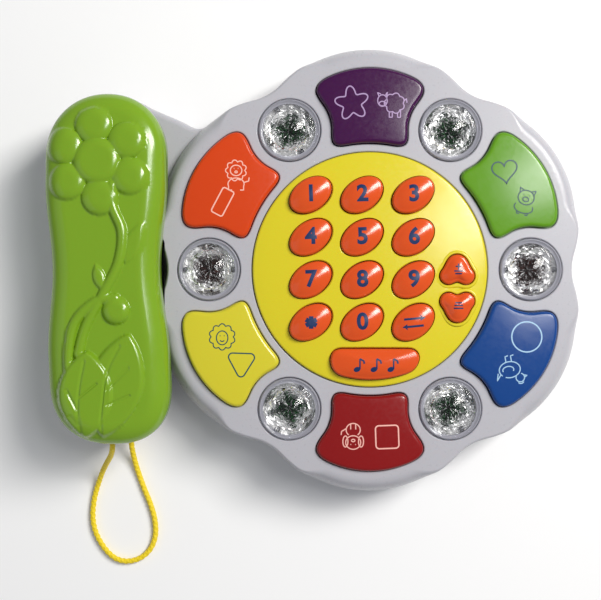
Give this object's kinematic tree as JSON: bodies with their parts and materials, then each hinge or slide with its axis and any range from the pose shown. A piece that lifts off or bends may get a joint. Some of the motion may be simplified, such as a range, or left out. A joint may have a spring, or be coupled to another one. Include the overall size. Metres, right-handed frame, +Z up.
{
  "type": "toy desk telephone",
  "caption": "Flower-shaped toy desk telephone with a round keypad, large petal buttons, light jewels, a lift-off handset on a cradle arm and a short tether cord.",
  "frame": {"origin": "middle of the flower on the plane it rests on", "axes": "+X away from the handset, +Y to the far edge with the keypad's top row, +Z up"},
  "size_m": [0.2238, 0.226, 0.0509],
  "materials": {
    "white_abs": "glossy moulded ABS",
    "white_abs_tray": "fine moulded texture",
    "yellow_abs": "glossy moulded ABS",
    "key_red": "glossy moulded ABS",
    "petal_green": "glossy moulded ABS",
    "petal_purple": "glossy moulded ABS",
    "petal_orange": "glossy moulded ABS",
    "petal_yellow": "glossy moulded ABS",
    "petal_red": "glossy moulded ABS",
    "petal_blue": "glossy moulded ABS",
    "clear_styrene": "clear moulded styrene",
    "silver_foil": "metallised faceted plastic",
    "handset_green": "glossy moulded ABS",
    "black_plastic": "moulded",
    "steel": "zinc plated",
    "board_green": "solder mask",
    "silicone": "moulded silicone",
    "battery_wrap": "printed wrap",
    "speaker_paper": "paper cone",
    "cord_yellow": "braided polyester"
  },
  "bodies": {
    "base": {"base_screw_1": "steel", "base_screw_2": "steel", "base_screw_3": "steel", "base_screw_4": "steel", "battery_1": "battery_wrap", "battery_2": "battery_wrap", "battery_3": "battery_wrap", "battery_contact_left": "steel", "battery_contact_right": "steel", "circuit_board": "board_green", "cord": "cord_yellow", "cord_knot_base": "cord_yellow", "jewel_lens_1": "clear_styrene", "jewel_lens_2": "clear_styrene", "jewel_lens_3": "clear_styrene", "jewel_lens_4": "clear_styrene", "jewel_lens_5": "clear_styrene", "jewel_lens_6": "clear_styrene", "jewel_reflector_1": "silver_foil", "jewel_reflector_2": "silver_foil", "jewel_reflector_3": "silver_foil", "jewel_reflector_4": "silver_foil", "jewel_reflector_5": "silver_foil", "jewel_reflector_6": "silver_foil", "keypad_membrane": "silicone", "keypad_plate": "yellow_abs", "lower_shell": "white_abs_tray", "petal_membrane": "silicone", "power_switch_body": "steel", "speaker": "speaker_paper", "upper_shell": "white_abs"},
    "handset": {"handset_front_shell": "handset_green", "handset_back_shell": "handset_green", "handset_screw_1": "steel", "handset_screw_2": "steel", "cord_knot_handset": "cord_yellow"},
    "battery_door": {"battery_door": "white_abs_tray", "battery_door_screw": "steel"},
    "power_switch_knob": {"power_switch_knob": "black_plastic"},
    "key_1": {"key_1": "key_red"},
    "key_2": {"key_2": "key_red"},
    "key_3": {"key_3": "key_red"},
    "key_4": {"key_4": "key_red"},
    "key_5": {"key_5": "key_red"},
    "key_6": {"key_6": "key_red"},
    "key_7": {"key_7": "key_red"},
    "key_8": {"key_8": "key_red"},
    "key_9": {"key_9": "key_red"},
    "key_star": {"key_star": "key_red"},
    "key_0": {"key_0": "key_red"},
    "key_function": {"key_function": "key_red"},
    "key_music": {"key_music": "key_red"},
    "key_heart_up": {"key_heart_up": "key_red"},
    "key_heart_down": {"key_heart_down": "key_red"},
    "petal_button_green": {"petal_button_green": "petal_green"},
    "petal_button_purple": {"petal_button_purple": "petal_purple"},
    "petal_button_orange": {"petal_button_orange": "petal_orange"},
    "petal_button_yellow": {"petal_button_yellow": "petal_yellow"},
    "petal_button_red": {"petal_button_red": "petal_red"},
    "petal_button_blue": {"petal_button_blue": "petal_blue"}
  },
  "joints": [
    {"name": "key_1_press", "type": "slide", "parent": "base", "child": "key_1", "axis": [0, 0, -1], "range_m": [0, 0.0015], "stiffness_N_per_m": 200, "springref_m": -0.0012, "deforming": ["keypad_membrane"]},
    {"name": "key_2_press", "type": "slide", "parent": "base", "child": "key_2", "axis": [0, 0, -1], "range_m": [0, 0.0015], "stiffness_N_per_m": 200, "springref_m": -0.0012, "deforming": ["keypad_membrane"]},
    {"name": "key_3_press", "type": "slide", "parent": "base", "child": "key_3", "axis": [0, 0, -1], "range_m": [0, 0.0015], "stiffness_N_per_m": 200, "springref_m": -0.0012, "deforming": ["keypad_membrane"]},
    {"name": "key_4_press", "type": "slide", "parent": "base", "child": "key_4", "axis": [0, 0, -1], "range_m": [0, 0.0015], "stiffness_N_per_m": 200, "springref_m": -0.0012, "deforming": ["keypad_membrane"]},
    {"name": "key_5_press", "type": "slide", "parent": "base", "child": "key_5", "axis": [0, 0, -1], "range_m": [0, 0.0015], "stiffness_N_per_m": 200, "springref_m": -0.0012, "deforming": ["keypad_membrane"]},
    {"name": "key_6_press", "type": "slide", "parent": "base", "child": "key_6", "axis": [0, 0, -1], "range_m": [0, 0.0015], "stiffness_N_per_m": 200, "springref_m": -0.0012, "deforming": ["keypad_membrane"]},
    {"name": "key_7_press", "type": "slide", "parent": "base", "child": "key_7", "axis": [0, 0, -1], "range_m": [0, 0.0015], "stiffness_N_per_m": 200, "springref_m": -0.0012, "deforming": ["keypad_membrane"]},
    {"name": "key_8_press", "type": "slide", "parent": "base", "child": "key_8", "axis": [0, 0, -1], "range_m": [0, 0.0015], "stiffness_N_per_m": 200, "springref_m": -0.0012, "deforming": ["keypad_membrane"]},
    {"name": "key_9_press", "type": "slide", "parent": "base", "child": "key_9", "axis": [0, 0, -1], "range_m": [0, 0.0015], "stiffness_N_per_m": 200, "springref_m": -0.0012, "deforming": ["keypad_membrane"]},
    {"name": "key_star_press", "type": "slide", "parent": "base", "child": "key_star", "axis": [0, 0, -1], "range_m": [0, 0.0015], "stiffness_N_per_m": 200, "springref_m": -0.0012, "deforming": ["keypad_membrane"]},
    {"name": "key_0_press", "type": "slide", "parent": "base", "child": "key_0", "axis": [0, 0, -1], "range_m": [0, 0.0015], "stiffness_N_per_m": 200, "springref_m": -0.0012, "deforming": ["keypad_membrane"]},
    {"name": "key_function_press", "type": "slide", "parent": "base", "child": "key_function", "axis": [0, 0, -1], "range_m": [0, 0.0015], "stiffness_N_per_m": 200, "springref_m": -0.0012, "deforming": ["keypad_membrane"]},
    {"name": "key_music_press", "type": "slide", "parent": "base", "child": "key_music", "axis": [0, 0, -1], "range_m": [0, 0.0015], "stiffness_N_per_m": 200, "springref_m": -0.0012, "deforming": ["keypad_membrane"]},
    {"name": "key_heart_up_press", "type": "slide", "parent": "base", "child": "key_heart_up", "axis": [0, 0, -1], "range_m": [0, 0.0015], "stiffness_N_per_m": 200, "springref_m": -0.0012, "deforming": ["keypad_membrane"]},
    {"name": "key_heart_down_press", "type": "slide", "parent": "base", "child": "key_heart_down", "axis": [0, 0, -1], "range_m": [0, 0.0015], "stiffness_N_per_m": 200, "springref_m": -0.0012, "deforming": ["keypad_membrane"]},
    {"name": "petal_button_green_press", "type": "slide", "parent": "base", "child": "petal_button_green", "axis": [0, 0, -1], "range_m": [0, 0.002], "stiffness_N_per_m": 200, "springref_m": -0.0015, "deforming": ["petal_membrane"]},
    {"name": "petal_button_purple_press", "type": "slide", "parent": "base", "child": "petal_button_purple", "axis": [0, 0, -1], "range_m": [0, 0.002], "stiffness_N_per_m": 200, "springref_m": -0.0015, "deforming": ["petal_membrane"]},
    {"name": "petal_button_orange_press", "type": "slide", "parent": "base", "child": "petal_button_orange", "axis": [0, 0, -1], "range_m": [0, 0.002], "stiffness_N_per_m": 200, "springref_m": -0.0015, "deforming": ["petal_membrane"]},
    {"name": "petal_button_yellow_press", "type": "slide", "parent": "base", "child": "petal_button_yellow", "axis": [0, 0, -1], "range_m": [0, 0.002], "stiffness_N_per_m": 200, "springref_m": -0.0015, "deforming": ["petal_membrane"]},
    {"name": "petal_button_red_press", "type": "slide", "parent": "base", "child": "petal_button_red", "axis": [0, 0, -1], "range_m": [0, 0.002], "stiffness_N_per_m": 200, "springref_m": -0.0015, "deforming": ["petal_membrane"]},
    {"name": "petal_button_blue_press", "type": "slide", "parent": "base", "child": "petal_button_blue", "axis": [0, 0, -1], "range_m": [0, 0.002], "stiffness_N_per_m": 200, "springref_m": -0.0015, "deforming": ["petal_membrane"]},
    {"name": "handset_lift", "type": "slide", "parent": "base", "child": "handset", "axis": [0, 0, 1], "range_m": [0, 0.06], "deforming": ["cord"]},
    {"name": "battery_door_off", "type": "slide", "parent": "base", "child": "battery_door", "axis": [0, 0, -1], "range_m": [0, 0.012]},
    {"name": "power_switch_slide", "type": "slide", "parent": "base", "child": "power_switch_knob", "axis": [1, 0, 0], "range_m": [0, 0.004]}
  ]
}
